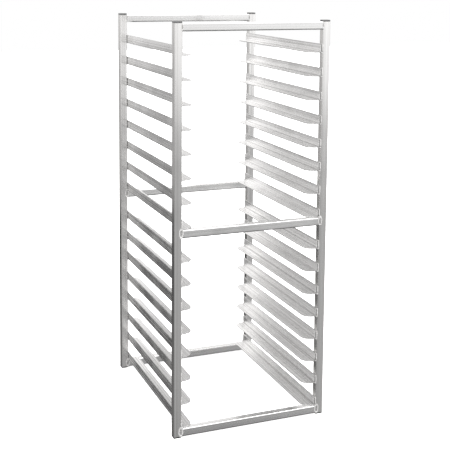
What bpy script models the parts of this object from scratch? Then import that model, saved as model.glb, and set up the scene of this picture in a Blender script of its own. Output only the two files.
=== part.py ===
"""Sheet pan rack: an end-load frame of welded aluminium tube that holds sixteen full-size sheet pans.

Frame: metres, +Z up. The origin is on the floor at the centre of the rack's footprint. Left is -X. Pans slide
in along Y from the front, which faces -Y.
"""

import math

import bmesh
import bpy
from mathutils import Matrix

INCH = 0.0254
FIT_GAP = 0.0003  # clearance between neighbouring pieces

# Overall size
WIDTH = 20.5 * INCH
DEPTH = 24.5 * INCH
HEIGHT = 51.375 * INCH

# Square tube of the uprights and rails
TUBE = 1.0 * INCH
TUBE_CORNER = 0.125 * INCH
TUBE_WALL = 0.0625 * INCH
CORNER_STEPS = 3

# Plastic plugs in the ends of the uprights
CAP_HEAD = 0.1875 * INCH
FOOT_HEAD = 0.125 * INCH
CAP_EDGE = 0.0012
FOOT_EDGE = 0.0008
STEM_LENGTH = 0.014
STEM_FINS = 3
FIN_THICKNESS = 0.0016
FIN_DEPTH = 0.0018
RIM_STEPS = 2

# Slides: an L angle with an upright leg and a level flange
SLIDES_PER_BANK = 8
SLIDE_PITCH = 3.0 * INCH
SLIDE_THICKNESS = 0.1 * INCH
SLIDE_LEG = 1.125 * INCH
SLIDE_FLANGE = 1.625 * INCH
SLIDE_END_INSET = 0.25 * INCH  # from the face of the rack to the end of a slide
FLANGE_CORNER = 1.25 * INCH
FLANGE_CORNER_STEPS = 8

# Weld metal: an oval pad over each joint of the middle and bottom rails, on the rail's front and back faces
WELD_ONTO_UPRIGHT = 0.011
WELD_ONTO_RAIL = 0.006
WELD_ABOVE_RAIL = 0.008
WELD_BELOW_RAIL = 0.0018
WELD_RISE = 0.0011  # proud of the tubes' faces
WELD_ROOT = 0.001  # into the rail's wall
WELD_EDGE = 0.0007
WELD_STEPS = 24
WELD_GAP = 0.00025  # clearance to the upright
WELD_TRIM_GAP = 0.0001  # what the trim leaves above the rail, so that it shares no face with it

SHARP_ANGLE = math.radians(30)

# Heights
MIDDLE_RAIL_TOP = 26.25 * INCH
TUBE_BOTTOM = FOOT_HEAD + FIT_GAP
TUBE_TOP = HEIGHT - CAP_HEAD - FIT_GAP
BOTTOM_RAIL_TOP = TUBE_BOTTOM + TUBE

# Finishes: name, base colour, metallic, roughness
TUBE_ALUMINIUM = ("satin_aluminium", (0.78, 0.77, 0.76, 1.0), 1.0, 0.35)
SLIDE_ALUMINIUM = ("mill_aluminium", (0.80, 0.80, 0.81, 1.0), 1.0, 0.3)
CAP_PLASTIC = ("grey_plastic", (0.05, 0.05, 0.05, 1.0), 0.0, 0.5)
FOOT_PLASTIC = ("black_plastic", (0.01, 0.01, 0.01, 1.0), 0.0, 0.55)


def clear_scene():
    for obj in list(bpy.data.objects):
        bpy.data.objects.remove(obj, do_unlink=True)


def make_material(piece_name, finish):
    finish_name, colour, metallic, roughness = finish
    material = bpy.data.materials.new(piece_name + "_" + finish_name)
    material.use_nodes = True
    surface = material.node_tree.nodes["Principled BSDF"]
    surface.inputs["Base Color"].default_value = colour
    surface.inputs["Metallic"].default_value = metallic
    surface.inputs["Roughness"].default_value = roughness
    return material


def mesh_from(bm, name):
    mesh = bpy.data.meshes.new(name)
    bm.to_mesh(mesh)
    bm.free()
    return mesh


def shade(mesh):
    mesh.shade_smooth()
    mesh.set_sharp_from_angle(angle=SHARP_ANGLE)
    return mesh


def add_maker(name, mesh):
    maker = bpy.data.objects.new(name, mesh)
    bpy.context.scene.collection.objects.link(maker)
    return maker


def finished_mesh(name, maker):
    """A maker's mesh with its modifiers applied."""
    depsgraph = bpy.context.evaluated_depsgraph_get()
    mesh = bpy.data.meshes.new_from_object(maker.evaluated_get(depsgraph))
    mesh.name = name
    bpy.data.objects.remove(maker, do_unlink=True)
    return shade(mesh)


def thickened_mesh(name, bm, thickness):
    """A closed mesh made from an open surface, whose thickness lies behind its faces."""
    maker = add_maker(name + "_maker", mesh_from(bm, name + "_surface"))
    wall = maker.modifiers.new("wall", "SOLIDIFY")
    wall.thickness = thickness
    wall.offset = -1.0
    wall.use_even_offset = True
    return finished_mesh(name, maker)


def round_off(bm, geom, radius, steps, affect="EDGES"):
    bmesh.ops.bevel(bm, geom=geom, offset=radius, segments=steps, profile=0.5, affect=affect)


def square_prism(length, margin=0.0):
    """A bar along Z from z = 0, with the outer section of the tube: a square with rounded corners.
    The margin makes the section larger all round."""
    bm = bmesh.new()
    bmesh.ops.create_cube(bm, size=1.0)
    bmesh.ops.scale(bm, vec=(TUBE + 2 * margin, TUBE + 2 * margin, length), verts=bm.verts)
    bmesh.ops.translate(bm, vec=(0.0, 0.0, length / 2), verts=bm.verts)
    long_edges = [e for e in bm.edges if abs((e.verts[0].co - e.verts[1].co).z) > length / 2]
    round_off(bm, long_edges, TUBE_CORNER + margin, CORNER_STEPS)
    return bm


def end_face(bm, top):
    """The flat end face of a bar along Z: its top one, or its bottom one."""
    return (max if top else min)(bm.faces, key=lambda f: f.calc_center_median().z)


def tube_mesh(name, length):
    """A square tube along Z from z = 0, open at both ends."""
    bm = square_prism(length)
    bm.normal_update()
    bmesh.ops.delete(bm, geom=[end_face(bm, True), end_face(bm, False)], context="FACES_ONLY")
    return thickened_mesh(name, bm, TUBE_WALL)


def weld_pads(length):
    """Oval pads over both ends of a rail along Z whose top faces -X, on its -Y and +Y faces."""
    half_height = (TUBE + WELD_ABOVE_RAIL + WELD_BELOW_RAIL) / 2
    half_width = (WELD_ONTO_UPRIGHT + WELD_ONTO_RAIL) / 2
    x = (WELD_BELOW_RAIL - WELD_ABOVE_RAIL) / 2
    overhang = (WELD_ONTO_UPRIGHT - WELD_ONTO_RAIL) / 2
    size = Matrix.Diagonal((half_height, WELD_RISE + WELD_ROOT, half_width, 1.0))
    along_y = Matrix.Rotation(math.pi / 2, 4, "X")
    bm = bmesh.new()
    for z in (-overhang, length + overhang):
        for side in (-1, 1):
            y = side * (TUBE + WELD_RISE - WELD_ROOT) / 2
            place = Matrix.Translation((x, y, z)) @ size @ along_y
            made = bmesh.ops.create_cone(bm, cap_ends=True, segments=WELD_STEPS, radius1=1.0, radius2=1.0,
                                         depth=1.0, matrix=place)
            faces = {face for vert in made["verts"] for face in vert.link_faces}
            outer = max(faces, key=lambda face: side * face.calc_center_median().y)
            round_off(bm, list(outer.edges), WELD_EDGE, RIM_STEPS)
    bmesh.ops.recalc_face_normals(bm, faces=bm.faces)
    return bm


def uprights_beside(length):
    """The two uprights that a rail along Z meets, along X and larger by the weld's clearance."""
    reach = 2 * TUBE
    bm = square_prism(2 * reach, WELD_GAP)
    bmesh.ops.transform(bm, matrix=Matrix.Rotation(math.pi / 2, 4, "Y"), verts=bm.verts)
    bmesh.ops.translate(bm, vec=(-reach, 0.0, -FIT_GAP - TUBE / 2), verts=bm.verts)
    first = list(bm.verts) + list(bm.edges) + list(bm.faces)
    copied = bmesh.ops.duplicate(bm, geom=first)["geom"]
    verts = [g for g in copied if isinstance(g, bmesh.types.BMVert)]
    bmesh.ops.translate(bm, vec=(0.0, 0.0, length + 2 * FIT_GAP + TUBE), verts=verts)
    return bm


def space_above(length):
    """The space over a rail along Z whose top faces -X, between its uprights."""
    bm = bmesh.new()
    bmesh.ops.create_cube(bm, size=1.0)
    bmesh.ops.scale(bm, vec=(TUBE, 2 * TUBE, length + 2 * FIT_GAP), verts=bm.verts)
    bmesh.ops.translate(bm, vec=(-TUBE - WELD_TRIM_GAP, 0.0, length / 2), verts=bm.verts)
    return bm


def welded_rail_mesh(name, length):
    """A rail along Z whose top faces -X, with its weld metal fused on."""
    maker = add_maker(name + "_maker", tube_mesh(name + "_tube", length))
    steps = (
        ("pads", "UNION", weld_pads(length)),
        ("uprights", "DIFFERENCE", uprights_beside(length)),
        ("above", "DIFFERENCE", space_above(length)),
    )
    tools = []
    for step_name, operation, bm in steps:
        tool = add_maker(name + "_" + step_name, mesh_from(bm, name + "_" + step_name))
        step = maker.modifiers.new(step_name, "BOOLEAN")
        step.operation = operation
        step.solver = "EXACT"
        step.object = tool
        tools.append(tool)
    mesh = finished_mesh(name, maker)
    for tool in tools:
        bpy.data.objects.remove(tool, do_unlink=True)
    return mesh


def slide_mesh():
    """A left-hand slide, centred on Y, with its leg's outer face at x = 0 and its underside at z = 0."""
    bm = bmesh.new()
    bmesh.ops.create_grid(bm, x_segments=1, y_segments=1, size=0.5)
    bmesh.ops.scale(bm, vec=(SLIDE_FLANGE, DEPTH - 2 * SLIDE_END_INSET, 1.0), verts=bm.verts)
    bmesh.ops.translate(bm, vec=(SLIDE_FLANGE / 2, 0.0, 0.0), verts=bm.verts)
    fold = min(bm.edges, key=lambda e: e.verts[0].co.x + e.verts[1].co.x)
    grown = bmesh.ops.extrude_edge_only(bm, edges=[fold])["geom"]
    leg_top = [g for g in grown if isinstance(g, bmesh.types.BMVert)]
    bmesh.ops.translate(bm, vec=(0.0, 0.0, SLIDE_LEG), verts=leg_top)
    free_corners = [v for v in bm.verts if v.co.x > SLIDE_FLANGE / 2]
    round_off(bm, free_corners, FLANGE_CORNER, FLANGE_CORNER_STEPS, affect="VERTICES")
    bmesh.ops.recalc_face_normals(bm, faces=bm.faces)
    bm.normal_update()
    flange = max(bm.faces, key=lambda f: f.calc_area())
    if flange.normal.z > 0:
        bmesh.ops.reverse_faces(bm, faces=bm.faces)
    return thickened_mesh("slide", bm, SLIDE_THICKNESS)


def extrude_end(bm, face, scale, length):
    """Continues a bar past its end face, first scaling that face in place, then running length along Z."""
    for factor, rise in ((scale, 0.0), (1.0, length)):
        grown = bmesh.ops.extrude_face_region(bm, geom=[face])["geom"]
        verts = [g for g in grown if isinstance(g, bmesh.types.BMVert)]
        bmesh.ops.scale(bm, vec=(factor, factor, 1.0), verts=verts)
        bmesh.ops.translate(bm, vec=(0.0, 0.0, rise), verts=verts)
        bmesh.ops.delete(bm, geom=[face], context="FACES_ONLY")
        face = next(g for g in grown if isinstance(g, bmesh.types.BMFace))
    return face


def plug_mesh(name, head, edge):
    """A tube plug: its head spans z = 0 to head, and its finned stem hangs below z = 0."""
    fin_side = TUBE - 2 * TUBE_WALL - 2 * FIT_GAP
    core_side = fin_side - 2 * FIN_DEPTH
    bm = square_prism(head)
    bm.normal_update()
    rim = list(end_face(bm, True).edges)
    round_off(bm, rim, edge, RIM_STEPS)
    bm.normal_update()
    face = end_face(bm, False)
    gap = (STEM_LENGTH - STEM_FINS * FIN_THICKNESS) / STEM_FINS
    side = TUBE
    for _ in range(STEM_FINS):
        for next_side, length in ((core_side, gap), (fin_side, FIN_THICKNESS)):
            face = extrude_end(bm, face, next_side / side, -length)
            side = next_side
    bmesh.ops.recalc_face_normals(bm, faces=bm.faces)
    return shade(mesh_from(bm, name))


class Builder:
    """Places named pieces in the rack's collection, under one empty."""

    def __init__(self, name):
        self.collection = bpy.data.collections.new(name)
        bpy.context.scene.collection.children.link(self.collection)
        self.origin = bpy.data.objects.new(name + "_origin", None)
        self.collection.objects.link(self.origin)

    def place(self, name, mesh, finish, location, rotation=(0.0, 0.0, 0.0)):
        piece = bpy.data.objects.new(name, mesh)
        self.collection.objects.link(piece)
        piece.parent = self.origin
        piece.location = location
        piece.rotation_euler = rotation
        if not mesh.materials:
            mesh.materials.append(None)
        piece.material_slots[0].link = "OBJECT"
        piece.material_slots[0].material = make_material(name, finish)


def corner_positions():
    """Name and centre of each upright."""
    x = WIDTH / 2 - TUBE / 2
    y = DEPTH / 2 - TUBE / 2
    return {
        "front_left": (-x, -y),
        "front_right": (x, -y),
        "back_left": (-x, y),
        "back_right": (x, y),
    }


def add_uprights(rack):
    mesh = tube_mesh("upright", TUBE_TOP - TUBE_BOTTOM)
    for corner, (x, y) in corner_positions().items():
        rack.place("upright_" + corner, mesh, TUBE_ALUMINIUM, (x, y, TUBE_BOTTOM))


def add_plugs(rack):
    cap = plug_mesh("top_cap", CAP_HEAD, CAP_EDGE)
    foot = plug_mesh("foot_plug", FOOT_HEAD, FOOT_EDGE)
    for corner, (x, y) in corner_positions().items():
        rack.place("top_cap_" + corner, cap, CAP_PLASTIC, (x, y, HEIGHT - CAP_HEAD))
        rack.place("foot_plug_" + corner, foot, FOOT_PLASTIC, (x, y, FOOT_HEAD), (math.pi, 0.0, 0.0))


def add_rails(rack):
    length = WIDTH - 2 * TUBE - 2 * FIT_GAP
    plain = tube_mesh("rail", length)
    welded = welded_rail_mesh("welded_rail", length)
    levels = {
        "top": (TUBE_TOP, plain),
        "middle": (MIDDLE_RAIL_TOP, welded),
        "bottom": (BOTTOM_RAIL_TOP, welded),
    }
    sides = {"front": -(DEPTH - TUBE) / 2, "back": (DEPTH - TUBE) / 2}
    for level, (top, mesh) in levels.items():
        for side, y in sides.items():
            place = (-length / 2, y, top - TUBE / 2)
            rack.place("rail_" + level + "_" + side, mesh, TUBE_ALUMINIUM, place, (0.0, math.pi / 2, 0.0))


def slide_heights():
    """Underside of each slide's flange, from the top one down. The lowest of each bank lies on a rail."""
    heights = []
    for rail_top in (MIDDLE_RAIL_TOP, BOTTOM_RAIL_TOP):
        for step in reversed(range(SLIDES_PER_BANK)):
            heights.append(rail_top + FIT_GAP + step * SLIDE_PITCH)
    return heights


def add_slides(rack):
    mesh = slide_mesh()
    x = WIDTH / 2 - TUBE - FIT_GAP
    for number, z in enumerate(slide_heights(), start=1):
        rack.place(f"slide_left_{number:02d}", mesh, SLIDE_ALUMINIUM, (-x, 0.0, z))
        rack.place(f"slide_right_{number:02d}", mesh, SLIDE_ALUMINIUM, (x, 0.0, z), (0.0, 0.0, math.pi))


def main():
    clear_scene()
    rack = Builder("sheet_pan_rack")
    add_uprights(rack)
    add_rails(rack)
    add_slides(rack)
    add_plugs(rack)


main()
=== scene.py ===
import math
import random

import bmesh
import bpy
from mathutils import Matrix, Vector


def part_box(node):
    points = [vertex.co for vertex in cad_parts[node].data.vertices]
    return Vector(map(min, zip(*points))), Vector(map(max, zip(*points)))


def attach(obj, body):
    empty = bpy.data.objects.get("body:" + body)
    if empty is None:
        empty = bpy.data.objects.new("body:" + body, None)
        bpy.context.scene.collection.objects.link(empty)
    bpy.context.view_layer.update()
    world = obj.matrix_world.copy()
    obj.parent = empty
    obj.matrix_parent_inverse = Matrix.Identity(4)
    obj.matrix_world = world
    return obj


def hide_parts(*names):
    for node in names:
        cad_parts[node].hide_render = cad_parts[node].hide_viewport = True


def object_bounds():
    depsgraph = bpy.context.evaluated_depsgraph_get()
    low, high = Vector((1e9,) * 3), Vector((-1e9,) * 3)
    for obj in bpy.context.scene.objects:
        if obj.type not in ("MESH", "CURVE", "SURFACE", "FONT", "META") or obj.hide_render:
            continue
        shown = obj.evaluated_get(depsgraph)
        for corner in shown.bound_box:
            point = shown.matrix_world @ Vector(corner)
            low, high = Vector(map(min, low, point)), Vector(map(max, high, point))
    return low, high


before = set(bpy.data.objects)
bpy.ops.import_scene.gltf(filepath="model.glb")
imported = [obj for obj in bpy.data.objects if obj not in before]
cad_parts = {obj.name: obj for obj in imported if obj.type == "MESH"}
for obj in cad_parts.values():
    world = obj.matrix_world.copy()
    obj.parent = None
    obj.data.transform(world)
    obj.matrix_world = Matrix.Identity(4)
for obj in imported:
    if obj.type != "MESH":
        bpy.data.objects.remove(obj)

# The looks of a sheet pan rack: satin aluminium tube, mill-finish slides, weld beads and plastic plugs, built
# round the CAD frame. Metres, +Z up. The rack's front faces -Y.

CAD_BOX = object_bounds()
CORNERS = ("front_left", "front_right", "back_left", "back_right")
LEVELS = ("top", "middle", "bottom")
SLIDE_NUMBERS = range(1, 17)

FIT_GAP = 0.0003

# Tubes and slides, finer in shape than the CAD's
TUBE = 0.0254
TUBE_CORNER = 0.003175
TUBE_WALL = 0.0015875
CORNER_STEPS = 10
END_CHAMFER = 0.0005
FLANGE_CORNER = 0.03175
FLANGE_CORNER_STEPS = 24
SLIDE_THICKNESS = 0.00254
SLIDE_EDGE = 0.0005

# Patterns: how often each changes in a metre, along the metal and across it, or every way alike
BANDS = (0.25, 190.0)
LINES = (0.6, 620.0)
HAIRS = (8.0, 3600.0)
SCRATCHES = (28.0, 900.0)
CLOUD = 9.0
WELD_CRUST = 1500.0
WELD_STAIN = 300.0
PLASTIC_GRAIN = 2200.0
PLASTIC_SCUFF = 130.0

# Painted shade and wear: the share of a surface's colour that is left where shade is painted along a rail's
# lower edges, along a slide's edges and in its fold, and where wear dulls a slide at its front
RAIL_BAND = 0.005
RAIL_PAINTED_SHADE = 0.58
EDGE_BAND = 0.0026
EDGE_PAINTED_SHADE = 0.74
FOLD_BAND = 0.0025
FOLD_PAINTED_SHADE = 0.7
FRONT_SCUFF = 0.74
SCUFF_RANGE = (-0.1, 0.3)

# Plugs
CAP_HEAD = 0.0047625
FOOT_HEAD = 0.003175
CAP_EDGE = 0.0013
FOOT_EDGE = 0.0009
EDGE_STEPS = 6
STEM_FINS = 3
FIN_DEPTH = 0.0018
# A fin's outline: how far each ring is drawn in, and its place between one fin and the next
FIN_RINGS = ((-2 * FIN_DEPTH, 0.0), (-2 * FIN_DEPTH, 0.7), (0.0, 0.72), (0.0, 1.0))

# Oval welds over the rails' ends. Places inside an oval are shares of the way to its rim.
PIT = "pit"
WELD_SEED = 11
OVAL_ONTO_UPRIGHT = 0.011
OVAL_ONTO_RAIL = 0.006
OVAL_ABOVE = 0.008
OVAL_BELOW = 0.0018
OVAL_RISE = 0.0011
OVAL_FILL = 0.98
OVAL_PITS = 4
OVAL_RINGS = (0.06, 0.16, 0.27, 0.38, 0.46, 0.52, 0.57, 0.62, 0.68, 0.75, 0.82, 0.88, 0.93, 0.97, 1.0)
OVAL_SPOKES = 132
OVAL_RIPPLES = 33
RIPPLE_SLANT = 2.5
BEAD_PLACE = 0.76
BEAD_SHARE = 0.24
MIDDLE_HEIGHT = 0.32
RIM_HEIGHT = -0.15
# Darkening of the oval's rim and middle: soot and painted shade
RIM_SHADE_FROM = 0.86
RIM_SOOT_AND_SHADE = 0.8
MIDDLE_SHADE_TO = 0.56
MIDDLE_SOOT_AND_SHADE = 0.62
PIT_REACH = (0.1, 0.62)
PIT_DEPTH = (0.7, 1.0)
PIT_SIZE = (0.32, 0.18)
TOP_OVAL_WIDTH = 0.0064
TOP_OVAL_INSET = 0.0012
TOP_OVAL_RISE = 0.0004
TOP_OVAL_PITS = 3

# Welds at the slides' ends
RIPPLE_PITCH = 0.0019
RIPPLE_STEPS = 4
STRAND_SIDES = 10
STRAND_INSET = 0.0014
# The strands: how far each is off the upright's face and past the slide's end, its radius and its darkening,
# soot and painted shade in the seam
SLIDE_STRANDS = (
    (0.0024, -0.0046, 0.0015, 0.0),
    (0.0010, 0.0002, 0.0020, 0.75),
    (0.0004, 0.0050, 0.0021, 0.0),
)
# The blobs that join them
BLOB_OFF_FACE = 0.0012
BLOB_PAST_END = 0.0016
FOOT_BLOB = (0.0022, 0.005, 0.0017)
TOP_BLOB = (0.0018, 0.004, 0.0012)
BLOB_ROUGHNESS = 0.04

BODY = "root"


# ---------------------------------------------------------------------------------------------------- pieces

def show(name, mesh, material, replaces=None, location=(0.0, 0.0, 0.0)):
    """Adds a piece that rides on the rack, and hides the CAD node that it stands for."""
    piece = bpy.data.objects.new(name, mesh)
    bpy.context.scene.collection.objects.link(piece)
    piece.location = location
    piece.data.materials.clear()
    piece.data.materials.append(material)
    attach(piece, BODY)
    if replaces:
        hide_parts(replaces)
    return piece


def add_weighted_normals(piece):
    modifier = piece.modifiers.new("normals", "WEIGHTED_NORMAL")
    modifier.keep_sharp = True


def mesh_from(bm, name, sharp_degrees=35.0):
    bmesh.ops.recalc_face_normals(bm, faces=bm.faces)
    mesh = bpy.data.meshes.new(name)
    bm.to_mesh(mesh)
    bm.free()
    mesh.shade_smooth()
    mesh.set_sharp_from_angle(angle=math.radians(sharp_degrees))
    return mesh


def rounded_square(side, radius, steps=CORNER_STEPS):
    """Points round a square with rounded corners, as (u, v) pairs about its centre."""
    reach = side / 2 - radius
    points = []
    for quarter, (u_sign, v_sign) in enumerate(((1, 1), (-1, 1), (-1, -1), (1, -1))):
        for step in range(steps + 1):
            angle = (quarter + step / steps) * math.pi / 2
            u = u_sign * reach + radius * math.cos(angle)
            v = v_sign * reach + radius * math.sin(angle)
            points.append((u, v))
    return points


def add_ring(bm, side, radius, height):
    return [bm.verts.new((u, v, height)) for u, v in rounded_square(side, radius)]


def skin(bm, rings):
    for lower, upper in zip(rings, rings[1:]):
        count = len(lower)
        for i in range(count):
            j = (i + 1) % count
            bm.faces.new((lower[i], lower[j], upper[j], upper[i]))


def tube_mesh(name, side, length):
    """A square tube along Z from z = 0, open at both ends, with its cut edges broken."""
    bm = bmesh.new()
    inner = side - 2 * TUBE_WALL
    inner_corner = TUBE_CORNER - TUBE_WALL
    broken = side - 2 * END_CHAMFER
    broken_corner = TUBE_CORNER - END_CHAMFER
    rings = [
        add_ring(bm, broken, broken_corner, 0.0),
        add_ring(bm, side, TUBE_CORNER, END_CHAMFER),
        add_ring(bm, side, TUBE_CORNER, length - END_CHAMFER),
        add_ring(bm, broken, broken_corner, length),
        add_ring(bm, inner, inner_corner, length),
        add_ring(bm, inner, inner_corner, 0.0),
    ]
    skin(bm, rings + rings[:1])
    return mesh_from(bm, name)


def slide_surface(name, flange, length, leg, towards):
    """A slide's outer faces as an open sheet. At x = 0 the leg goes up, and the flange towards +X or -X."""
    bm = bmesh.new()
    bmesh.ops.create_grid(bm, x_segments=1, y_segments=1, size=0.5)
    bmesh.ops.scale(bm, vec=(flange, length, 1.0), verts=bm.verts)
    bmesh.ops.translate(bm, vec=(towards * flange / 2, 0.0, 0.0), verts=bm.verts)
    fold = min(bm.edges, key=lambda e: abs(e.verts[0].co.x + e.verts[1].co.x))
    grown = bmesh.ops.extrude_edge_only(bm, edges=[fold])["geom"]
    leg_top = [g for g in grown if isinstance(g, bmesh.types.BMVert)]
    bmesh.ops.translate(bm, vec=(0.0, 0.0, leg), verts=leg_top)
    free_corners = [v for v in bm.verts if abs(v.co.x) > flange / 2]
    bmesh.ops.bevel(bm, geom=free_corners, offset=FLANGE_CORNER, segments=FLANGE_CORNER_STEPS, profile=0.5,
                    affect="VERTICES")
    bmesh.ops.recalc_face_normals(bm, faces=bm.faces)
    bm.normal_update()
    if max(bm.faces, key=lambda f: f.calc_area()).normal.z > 0:
        bmesh.ops.reverse_faces(bm, faces=bm.faces)
    mesh = bpy.data.meshes.new(name)
    bm.to_mesh(mesh)
    bm.free()
    mesh.shade_smooth()
    return mesh


def thicken_slide(piece):
    """Gives a slide its plate thickness and breaks its edges."""
    plate = piece.modifiers.new("plate", "SOLIDIFY")
    plate.thickness = SLIDE_THICKNESS
    plate.offset = -1.0
    plate.use_even_offset = True
    edges = piece.modifiers.new("edges", "BEVEL")
    edges.width = SLIDE_EDGE
    edges.segments = 3
    edges.limit_method = "ANGLE"
    edges.angle_limit = math.radians(40)
    add_weighted_normals(piece)


# ------------------------------------------------------------------------------------------------- materials

class Nodes:
    """A short way to write a node tree. A value may be a number, a tuple or another node's output."""

    def __init__(self, tree):
        self.tree = tree

    def wire(self, socket, value):
        if isinstance(value, bpy.types.NodeSocket):
            self.tree.links.new(value, socket)
        else:
            socket.default_value = value

    def node(self, kind, inputs=None, **settings):
        made = self.tree.nodes.new(kind)
        for key, value in settings.items():
            setattr(made, key, value)
        for key, value in (inputs or {}).items():
            self.wire(made.inputs[key], value)
        return made

    def math(self, operation, a, b):
        return self.node("ShaderNodeMath", {0: a, 1: b}, operation=operation).outputs[0]

    def remap(self, value, low, high, start=0.35, end=0.65, ease="LINEAR"):
        inputs = {"Value": value, "From Min": start, "From Max": end, "To Min": low, "To Max": high}
        return self.node("ShaderNodeMapRange", inputs, interpolation_type=ease).outputs["Result"]

    def mix(self, factor, a, b):
        made = self.node("ShaderNodeMix", data_type="RGBA")
        for socket, value in ((0, factor), (6, a), (7, b)):
            self.wire(made.inputs[socket], value)
        return made.outputs[2]

    def ramp(self, value, stops):
        """A grey ramp through (place, level) stops, whose levels may go above one."""
        brightest = max(level for _, level in stops)
        made = self.node("ShaderNodeValToRGB", {"Fac": value})
        elements = made.color_ramp.elements
        elements.remove(elements[-1])
        for index, (place, level) in enumerate(stops):
            element = elements.new(place) if index else elements[0]
            element.position = place
            element.color = (level / brightest,) * 3 + (1.0,)
        return self.math("MULTIPLY", made.outputs["Color"], brightest)

    def noise(self, position, scale, detail=2.0, roughness=0.5):
        """Noise about 0.5, with its own scale along each axis."""
        mapped = self.node("ShaderNodeMapping", {"Vector": position, "Scale": scale})
        inputs = {"Vector": mapped.outputs[0], "Scale": 1.0, "Detail": detail, "Roughness": roughness}
        return self.node("ShaderNodeTexNoise", inputs).outputs["Fac"]

    def bump(self, height, distance, strength, normal=None):
        made = self.node("ShaderNodeBump", {"Height": height, "Distance": distance, "Strength": strength})
        if normal is not None:
            self.wire(made.inputs["Normal"], normal)
        return made.outputs["Normal"]


class Finish(Nodes):
    """The nodes of one material, round its Principled BSDF."""

    def __init__(self, name):
        self.material = bpy.data.materials.new(name)
        self.material.use_nodes = True
        super().__init__(self.material.node_tree)
        self.surface = self.tree.nodes["Principled BSDF"]
        geometry = self.node("ShaderNodeNewGeometry")
        self.position = geometry.outputs["Position"]
        self.normal = geometry.outputs["Normal"]

    def set(self, **inputs):
        for key, value in inputs.items():
            self.wire(self.surface.inputs[key.replace("_", " ")], value)


def grain_scale(grain, along, across):
    return tuple(along if axis == grain else across for axis in "xyz")


def grey(level, warmth=0.0):
    return (level * (1 + warmth), level, level * (1 - warmth), 1.0)


def rail_painted_shade(f):
    """How much of a rail's colour is left: darker along its lower edges, as painted shade."""
    place = f.node("ShaderNodeTexCoord").outputs["Object"]
    z = f.node("ShaderNodeSeparateXYZ", {0: place}).outputs[2]
    return f.remap(z, RAIL_PAINTED_SHADE, 1.0, -TUBE / 2 + RAIL_BAND / 2, -TUBE / 2 + RAIL_BAND)


def slide_shade_and_wear(f):
    """How much of a slide's colour is left: painted shade along the fold and its two free edges, and wear
    that dulls it where pans first slide on.
    """
    low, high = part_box("slide_left_01")
    leg = high.z - low.z
    flange = high.x - low.x
    place = f.node("ShaderNodeTexCoord").outputs["Object"]
    x, y, z = f.node("ShaderNodeSeparateXYZ", {0: place}).outputs
    reach = f.math("ABSOLUTE", x, 0.0)
    # Painted shade along the leg's top edge and the flange's free edge
    leg_edge = f.remap(z, 1.0, EDGE_PAINTED_SHADE, leg - EDGE_BAND, leg - SLIDE_EDGE)
    flange_edge = f.remap(reach, 1.0, EDGE_PAINTED_SHADE, flange - EDGE_BAND, flange - SLIDE_EDGE)
    unshaded = f.math("MULTIPLY", leg_edge, flange_edge)
    # Painted shade in the fold
    up_leg = f.math("SUBTRACT", z, SLIDE_THICKNESS)
    along_flange = f.math("SUBTRACT", reach, SLIDE_THICKNESS)
    from_fold = f.math("MAXIMUM", up_leg, along_flange)
    unshaded = f.math("MULTIPLY", unshaded, f.remap(from_fold, FOLD_PAINTED_SHADE, 1.0, 0.0, FOLD_BAND))
    return f.math("MULTIPLY", unshaded, f.remap(y, FRONT_SCUFF, 1.0, *SCUFF_RANGE, "SMOOTHSTEP"))


def aluminium(name, grain, dark, light, roughness, anisotropy, shade_and_wear_of=None):
    """Extruded aluminium: die lines along one axis, soft handling marks and fine scratches."""
    f = Finish(name)
    bands = f.noise(f.position, grain_scale(grain, *BANDS))
    lines = f.noise(f.position, grain_scale(grain, *LINES), detail=1.0)
    hairs = f.noise(f.position, grain_scale(grain, *HAIRS))
    cloud = f.noise(f.position, (CLOUD,) * 3, detail=4.0)
    scratches = f.noise(f.position, grain_scale(grain, *SCRATCHES), detail=0.0)
    scratch = f.remap(scratches, 0.0, 1.0, 0.78, 0.82)
    tone = f.math("ADD", f.math("MULTIPLY", bands, 0.66), f.math("MULTIPLY", lines, 0.26))
    tone = f.math("ADD", tone, f.math("MULTIPLY", cloud, 0.08))
    shade = f.mix(f.remap(tone, 0.0, 1.0, 0.40, 0.60), dark, light)
    colour = f.mix(f.math("MULTIPLY", scratch, 0.5), shade, grey(0.97))
    if shade_and_wear_of:
        # Darkens the colour towards black by the painted shade and wear given
        colour = f.mix(shade_and_wear_of(f), grey(0.0), colour)
    f.set(Base_Color=colour)
    wear = f.math("ADD", f.remap(cloud, -0.03, 0.05), f.remap(lines, -0.03, 0.03))
    f.set(Metallic=1.0, Roughness=f.math("ADD", wear, roughness))
    normal = f.bump(hairs, distance=0.00001, strength=0.25)
    normal = f.bump(lines, distance=0.00003, strength=0.4, normal=normal)
    normal = f.bump(bands, distance=0.00008, strength=0.35, normal=normal)
    normal = f.bump(scratch, distance=0.00003, strength=0.2, normal=normal)
    f.set(Normal=normal)
    along = tuple(1.0 if axis == grain else 0.0 for axis in "xyz")
    across = f.node("ShaderNodeVectorMath", {0: f.normal, 1: along}, operation="CROSS_PRODUCT").outputs[0]
    f.set(Anisotropic=anisotropy, Tangent=across)
    return f.material


def weld_metal(name):
    """Bright weld metal with a grainy crust, darkened in its pits and hollows by soot and painted shade."""
    f = Finish(name)
    crust = f.noise(f.position, (WELD_CRUST,) * 3, detail=3.0)
    stain = f.noise(f.position, (WELD_STAIN,) * 3, detail=3.0)
    pit = f.node("ShaderNodeAttribute", attribute_name=PIT).outputs["Fac"]
    unshaded = f.mix(f.remap(stain, 0.0, 1.0), grey(0.56, 0.02), grey(0.80, 0.005))
    # The pits, the sunken middle and the rim are painted near black: soot and painted shade
    f.set(Base_Color=f.mix(pit, unshaded, grey(0.01, 0.08)))
    f.set(Metallic=f.remap(pit, 0.62, 0.3, 0.2, 0.9))
    f.set(Roughness=f.math("ADD", f.remap(crust, 0.22, 0.36), f.math("MULTIPLY", pit, 0.3)))
    f.set(Normal=f.bump(crust, distance=0.00009, strength=0.5))
    return f.material


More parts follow.
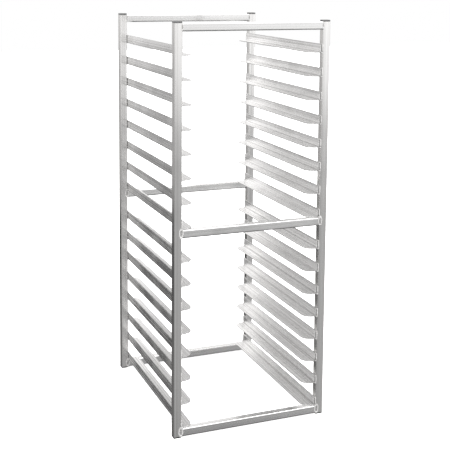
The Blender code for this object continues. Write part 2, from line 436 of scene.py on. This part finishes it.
def plastic(name, colour, worn, roughness, gloss):
    """Moulded plastic with a fine spark-eroded grain and paler scuffs."""
    f = Finish(name)
    grain = f.noise(f.position, (PLASTIC_GRAIN,) * 3)
    scuff = f.noise(f.position, (PLASTIC_SCUFF,) * 3, detail=5.0, roughness=0.65)
    f.set(Base_Color=f.mix(f.remap(scuff, 0.0, 1.0, 0.45, 0.75), colour, worn))
    f.set(Roughness=f.remap(scuff, roughness, roughness + 0.18), Specular_IOR_Level=gloss)
    f.set(Normal=f.bump(grain, distance=0.00006, strength=0.5))
    return f.material


# ------------------------------------------------------------------------------------------------------ rack

def rail_top(level, side):
    """The height of a rail's top face. The weld metal on the lower rails rises past it."""
    rise = 0.0 if level == "top" else OVAL_ABOVE
    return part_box(f"rail_{level}_{side}")[1].z - rise


def add_tubes(materials):
    for corner in CORNERS:
        node = "upright_" + corner
        low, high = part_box(node)
        mesh = tube_mesh(node + "_mesh", TUBE, high.z - low.z)
        centre = (low + high) / 2
        piece = show(node + "_tube", mesh, materials["upright"], node,
                     (centre.x, centre.y, low.z))
        add_weighted_normals(piece)
    lay_along_x = Matrix.Rotation(math.pi / 2, 4, "Y")
    for side in ("front", "back"):
        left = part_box(f"upright_{side}_left")
        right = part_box(f"upright_{side}_right")
        start = left[1].x + FIT_GAP
        length = right[0].x - FIT_GAP - start
        y = (left[0].y + left[1].y) / 2
        for level in LEVELS:
            node = f"rail_{level}_{side}"
            mesh = tube_mesh(node + "_mesh", TUBE, length)
            mesh.transform(lay_along_x)
            place = (start, y, rail_top(level, side) - TUBE / 2)
            piece = show(node + "_tube", mesh, materials["rail"], node, place)
            add_weighted_normals(piece)


def add_slides(materials):
    for side, towards in (("left", 1), ("right", -1)):
        low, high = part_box(f"slide_{side}_01")
        mesh = slide_surface(f"slide_{side}_sheet", high.x - low.x, high.y - low.y, high.z - low.z, towards)
        for number in SLIDE_NUMBERS:
            node = f"slide_{side}_{number:02d}"
            low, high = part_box(node)
            x = low.x if towards > 0 else high.x
            piece = show(node + "_angle", mesh, materials["slide"], node,
                         (x, (low.y + high.y) / 2, low.z))
            thicken_slide(piece)


def plug_mesh(name, low, high, edge, upward):
    """A plug's head with one rounded edge, and its finned stem. Its seat on the tube is at z = 0."""
    side = high.x - low.x
    head = CAP_HEAD if upward else FOOT_HEAD
    stem = high.z - low.z - head
    sense = 1 if upward else -1
    bm = bmesh.new()
    rings = []
    for step in range(EDGE_STEPS + 1):
        angle = step / EDGE_STEPS * math.pi / 2
        inset = edge * (1 - math.sin(angle))
        height = sense * (head - edge + edge * math.cos(angle))
        rings.append(add_ring(bm, side - 2 * inset, TUBE_CORNER - inset, height))
    bm.faces.new(rings[0])
    rings.append(add_ring(bm, side, TUBE_CORNER, 0.0))
    fin_side = side - 2 * TUBE_WALL - 2 * FIT_GAP
    fin_corner = TUBE_CORNER - TUBE_WALL
    pitch = stem / STEM_FINS
    for fin in range(STEM_FINS):
        top = sense * fin * pitch
        for drawn_in, drop in FIN_RINGS:
            rings.append(add_ring(bm, fin_side + drawn_in, fin_corner, -top - sense * drop * pitch))
    bm.faces.new(rings[-1])
    skin(bm, rings)
    return mesh_from(bm, name)


def add_plugs(materials):
    for kind, upward, edge in (("top_cap", True, CAP_EDGE), ("foot_plug", False, FOOT_EDGE)):
        for corner in CORNERS:
            node = f"{kind}_{corner}"
            low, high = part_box(node)
            seat = high.z - CAP_HEAD if upward else low.z + FOOT_HEAD
            mesh = plug_mesh(node + "_mesh", low, high, edge, upward)
            centre = (low + high) / 2
            piece = show(node + "_moulding", mesh, materials[kind], node,
                         (centre.x, centre.y, seat))
            add_weighted_normals(piece)


# ------------------------------------------------------------------------------------------------------ welds

class WeldMetal:
    """Weld beads gathered into one mesh, with how dark each point is painted: soot and painted shade."""

    def __init__(self, seed):
        self.bm = bmesh.new()
        self.pit = self.bm.verts.layers.float.new(PIT)
        self.chance = random.Random(seed)

    def point(self, place, soot_and_shade=0.0):
        vert = self.bm.verts.new(place)
        vert[self.pit] = soot_and_shade
        return vert

    def bridge(self, ring, next_ring):
        count = len(ring)
        for i in range(count):
            j = (i + 1) % count
            self.bm.faces.new((ring[i], ring[j], next_ring[j], next_ring[i]))

    def add_oval(self, centre, side, half_width, half_height, rise, pits):
        """An oval weld on a face towards -Y or +Y: a rippled bead round a lower, pitted middle."""
        holes = []
        for _ in range(pits):
            angle = self.chance.choice((-1, 1)) * math.pi / 2 + self.chance.uniform(-0.5, 0.5)
            reach = self.chance.uniform(*PIT_REACH)
            holes.append((reach * math.cos(angle), reach * math.sin(angle), self.chance.uniform(*PIT_DEPTH)))
        start = self.chance.uniform(0, math.tau)
        lean = self.chance.uniform(0.9, 1.05)
        rings = []
        for r in OVAL_RINGS:
            ring = []
            for spoke in range(OVAL_SPOKES):
                angle = spoke / OVAL_SPOKES * math.tau
                wobble = 1 + 0.03 * math.sin(3 * angle + start) + 0.02 * math.sin(7 * angle + 2 * start)
                u = min(r * wobble, 1.0) * math.cos(angle)
                v = min(r * wobble, 1.0) * math.sin(angle)
                ripple = abs(math.sin(OVAL_RIPPLES * angle / 2 + start + RIPPLE_SLANT * r))
                strand = max(0.0, 1 - ((r - BEAD_PLACE) / BEAD_SHARE) ** 2) ** 0.5
                level = MIDDLE_HEIGHT if r < BEAD_PLACE else RIM_HEIGHT
                height = rise * max(strand * (0.78 + 0.2 * ripple), level)
                # Soot and painted shade: darker towards the rim, over the sunken middle and in the pits
                soot_and_shade = RIM_SOOT_AND_SHADE * max(0.0, (r - RIM_SHADE_FROM) / (1 - RIM_SHADE_FROM))
                if r < MIDDLE_SHADE_TO:
                    soot_and_shade += MIDDLE_SOOT_AND_SHADE
                for hole_u, hole_v, depth in holes:
                    off_u = (u - hole_u) / PIT_SIZE[0]
                    off_v = (v - hole_v) / PIT_SIZE[1]
                    near = math.exp(-(off_u ** 2 + off_v ** 2) * 2)
                    height -= rise * 1.1 * depth * near
                    soot_and_shade = max(soot_and_shade, depth * near)
                x = centre[0] + u * half_width * lean
                ring.append(self.point((x, centre[1] + side * height, centre[2] + v * half_height), soot_and_shade))
            rings.append(ring)
        for ring, next_ring in zip(rings, rings[1:]):
            self.bridge(ring, next_ring)
        self.bm.faces.new(rings[0])

    def add_strand(self, start, end, radius, soot_and_shade=0.0):
        """A rippled bead along a straight seam, thinner at its start."""
        start = Vector(start)
        end = Vector(end)
        run = end - start
        steps = int(run.length / RIPPLE_PITCH * RIPPLE_STEPS)
        phase = self.chance.uniform(0, math.pi)
        rings = []
        for step in range(steps + 1):
            share = step / steps
            swell = math.sin(math.pi * min(1.0, 0.12 + share * 0.9)) ** 0.4
            ripple = abs(math.sin(math.pi * share * run.length / RIPPLE_PITCH + phase))
            size = radius * swell * (0.84 + 0.16 * ripple) * (0.9 + 0.1 * math.sin(9 * share + phase))
            centre = start + run * share
            ring = []
            for turn in range(STRAND_SIDES):
                angle = turn / STRAND_SIDES * math.tau
                place = centre + Vector((size * math.cos(angle), size * math.sin(angle), 0.0))
                ring.append(self.point(place, soot_and_shade))
            rings.append(ring)
        for ring, next_ring in zip(rings, rings[1:]):
            self.bridge(ring, next_ring)
        self.bm.faces.new(rings[0])
        self.bm.faces.new(rings[-1])

    def add_blob(self, centre, size):
        """A slightly uneven ball, stretched to its half-sizes."""
        place = Matrix.Translation(centre) @ Matrix.Diagonal((*size, 1.0))
        made = bmesh.ops.create_icosphere(self.bm, subdivisions=3, radius=1.0, matrix=place)
        for vert in made["verts"]:
            vert.co += (vert.co - Vector(centre)) * self.chance.uniform(-BLOB_ROUGHNESS, BLOB_ROUGHNESS)

    def finished(self, name):
        return mesh_from(self.bm, name, sharp_degrees=60.0)


def add_welds(materials):
    """One piece of weld metal for each upright: ovals over the rails' ends and beads at the slides' ends."""
    for index, corner in enumerate(CORNERS):
        low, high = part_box("upright_" + corner)
        metal = WeldMetal(index + WELD_SEED)
        front_or_back, left_or_right = corner.split("_")
        inward = 1 if left_or_right == "left" else -1
        joint_x = high.x if inward > 0 else low.x
        outward_y = -1 if front_or_back == "front" else 1
        for level in LEVELS:
            middle = rail_top(level, front_or_back) - TUBE / 2
            for face_y, side in ((low.y, -1), (high.y, 1)):
                if level == "top":
                    centre = (joint_x, face_y, middle)
                    half_height = TUBE / 2 - TOP_OVAL_INSET
                    half_width = TOP_OVAL_WIDTH / 2
                    metal.add_oval(centre, side, half_width, half_height, TOP_OVAL_RISE, TOP_OVAL_PITS)
                else:
                    overhang = (OVAL_ONTO_UPRIGHT - OVAL_ONTO_RAIL) / 2
                    half_width = (OVAL_ONTO_UPRIGHT + OVAL_ONTO_RAIL) / 2 * OVAL_FILL
                    centre = (joint_x - inward * overhang, face_y, middle + (OVAL_ABOVE - OVAL_BELOW) / 2)
                    half_height = (TUBE + OVAL_ABOVE + OVAL_BELOW) / 2 * OVAL_FILL
                    metal.add_oval(centre, side, half_width, half_height, OVAL_RISE, OVAL_PITS)
        for number in SLIDE_NUMBERS:
            slide_low, slide_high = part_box(f"slide_{left_or_right}_{number:02d}")
            end_y = slide_low.y if outward_y < 0 else slide_high.y
            top = slide_high.z - STRAND_INSET
            foot = slide_low.z + STRAND_INSET
            for off_face, past_end, radius, soot_and_shade in SLIDE_STRANDS:
                x = joint_x + inward * off_face
                y = end_y + outward_y * past_end
                metal.add_strand((x, y, top), (x, y, foot), radius, soot_and_shade)
            x = joint_x + inward * BLOB_OFF_FACE
            y = end_y + outward_y * BLOB_PAST_END
            metal.add_blob((x, y, foot), FOOT_BLOB)
            metal.add_blob((x, y, top), TOP_BLOB)
        show(f"weld_beads_{corner}", metal.finished("weld_beads_" + corner), materials["weld"])


# ----------------------------------------------------------------------------------------------------- stage

CAMERA_PLACE = Vector((-1.1965, -3.0728, 1.4428))
CAMERA_YAW = 0.386768
CAMERA_PITCH = 0.125594
CAMERA_ROLL = 0.009163
CAMERA_LENS = 78.446
SHIFT_RIGHT = 0.00788
SHIFT_UP = 0.12870


def add_camera():
    """The camera looks level with the rack's top and its film is shifted down, as a view camera's is.
    The shift is in the rig, as a slant of the viewing axis, so that the camera itself stays a plain one."""
    forward = Vector((math.sin(CAMERA_YAW) * math.cos(CAMERA_PITCH),
                      math.cos(CAMERA_YAW) * math.cos(CAMERA_PITCH),
                      -math.sin(CAMERA_PITCH)))
    level_right = Vector((math.cos(CAMERA_YAW), -math.sin(CAMERA_YAW), 0.0))
    level_up = level_right.cross(forward)
    right = level_right * math.cos(CAMERA_ROLL) + level_up * math.sin(CAMERA_ROLL)
    up = level_up * math.cos(CAMERA_ROLL) - level_right * math.sin(CAMERA_ROLL)
    back = SHIFT_RIGHT * right + SHIFT_UP * up - forward
    data = bpy.data.cameras.new("camera")
    data.lens = CAMERA_LENS * back.length
    data.sensor_width = 36.0
    data.clip_end = 50.0
    camera = bpy.data.objects.new("camera", data)
    rig = bpy.data.objects.new("camera_rig", None)
    bpy.context.scene.collection.objects.link(rig)
    bpy.context.scene.collection.objects.link(camera)
    slant = Matrix.Identity(4)
    for column, axis in enumerate((right, up, back, CAMERA_PLACE)):
        for row in range(3):
            slant[row][column] = axis[row]
    camera.parent = rig
    camera.matrix_parent_inverse = slant
    bpy.context.scene.camera = camera


FLOOR_REACH = 15.0
FLOOR_GAP = 0.0002
FLOOR_GLOW = 0.8


def add_floor():
    """A white floor just under the feet. Mirror-like reflections see the studio past it."""
    mesh = bpy.data.meshes.new("floor")
    bm = bmesh.new()
    bmesh.ops.create_grid(bm, x_segments=1, y_segments=1, size=FLOOR_REACH)
    bm.to_mesh(mesh)
    bm.free()
    floor = bpy.data.objects.new("floor", mesh)
    bpy.context.scene.collection.objects.link(floor)
    floor.location = (0.0, 0.0, CAD_BOX[0].z - FLOOR_GAP)
    f = Finish("floor_white")
    f.set(Base_Color=grey(0.85), Roughness=0.95, Specular_IOR_Level=0.0)
    f.set(Emission_Color=grey(1.0), Emission_Strength=FLOOR_GLOW)
    mesh.materials.append(f.material)
    floor.visible_glossy = False


# How bright the studio looks from the rack, ahead and behind: pairs of the sine of the elevation and a level
FRONT_STUDIO = (
    (-1.0, 0.02), (-0.6, 0.03), (-0.5, 0.27), (-0.42, 0.43), (-0.17, 0.46), (-0.105, 1.0),
    (-0.05, 1.05), (0.0, 1.3), (0.4, 1.4), (0.6, 2.2), (0.8, 3.4), (1.0, 4.0),
)
BACK_STUDIO = (
    (-1.0, 0.02), (-0.6, 0.05), (-0.42, 0.16), (-0.32, 0.09), (-0.25, 0.06), (-0.215, 0.38),
    (-0.10, 0.44), (-0.04, 0.64), (0.03, 1.62), (0.14, 1.57), (0.25, 1.4), (0.4, 1.22),
    (0.6, 1.25), (0.8, 2.4), (1.0, 4.0),
)
# Each edge is the range of a direction's x or y over which one level gives way to the other
FRONT_LEFT_LEVEL = 0.84
FRONT_LEFT_EDGE = (0.25, 0.5)
BACK_RIGHT_LEVEL = 0.74
BACK_RIGHT_EDGE = (-0.05, 0.15)
BEHIND_EDGE = (-0.3, 0.3)
BACK_LIGHT = (1.0, 0.99, 0.985, 1.0)


def add_studio():
    """A soft, bright studio that is darker below, and dimmer at the front left and the back right.
    The camera sees plain white."""
    world = bpy.data.worlds.new("studio")
    bpy.context.scene.world = world
    world.use_nodes = True
    world.node_tree.nodes.clear()
    n = Nodes(world.node_tree)
    direction = n.node("ShaderNodeTexCoord").outputs["Generated"]
    x, y, z = n.node("ShaderNodeSeparateXYZ", {0: direction}).outputs
    height = n.remap(z, 0.0, 1.0, -1.0, 1.0)
    levels = [n.ramp(height, [(0.5 + sine / 2, level) for sine, level in steps])
              for steps in (FRONT_STUDIO, BACK_STUDIO)]
    behind = n.remap(y, 0.0, 1.0, *BEHIND_EDGE, "SMOOTHSTEP")
    levels[0] = n.math("MULTIPLY", levels[0], n.remap(x, FRONT_LEFT_LEVEL, 1.0, *FRONT_LEFT_EDGE))
    levels[1] = n.math("MULTIPLY", levels[1], n.remap(x, 1.0, BACK_RIGHT_LEVEL, *BACK_RIGHT_EDGE))
    level = n.mix(behind, *levels)
    colour = n.mix(behind, grey(1.0), BACK_LIGHT)
    room = n.node("ShaderNodeBackground", {"Color": colour, "Strength": level})
    backdrop = n.node("ShaderNodeBackground", {"Color": grey(1.0)})
    seen = n.node("ShaderNodeLightPath").outputs["Is Camera Ray"]
    shown = n.node("ShaderNodeMixShader", {0: seen, 1: room.outputs[0], 2: backdrop.outputs[0]})
    n.node("ShaderNodeOutputWorld", {"Surface": shown.outputs[0]})


def main():
    materials = {
        "upright": aluminium("upright_aluminium", "z", dark=grey(0.80, 0.012), light=grey(0.95, 0.010),
                             roughness=0.19, anisotropy=0.8),
        "rail": aluminium("rail_aluminium", "x", dark=grey(0.80, 0.006), light=grey(0.94, 0.004),
                          roughness=0.19, anisotropy=0.8, shade_and_wear_of=rail_painted_shade),
        "slide": aluminium("slide_aluminium", "y", dark=grey(0.72, 0.006), light=grey(0.98, 0.002),
                           roughness=0.25, anisotropy=0.95, shade_and_wear_of=slide_shade_and_wear),
        "weld": weld_metal("weld_aluminium"),
        "top_cap": plastic("cap_plastic", grey(0.075), worn=grey(0.14), roughness=0.42, gloss=0.5),
        "foot_plug": plastic("foot_plastic", grey(0.004), worn=grey(0.012), roughness=0.5, gloss=0.15),
    }
    add_tubes(materials)
    add_slides(materials)
    add_plugs(materials)
    add_welds(materials)
    add_camera()
    add_floor()
    add_studio()
    bpy.context.scene.view_settings.view_transform = "Standard"


main()
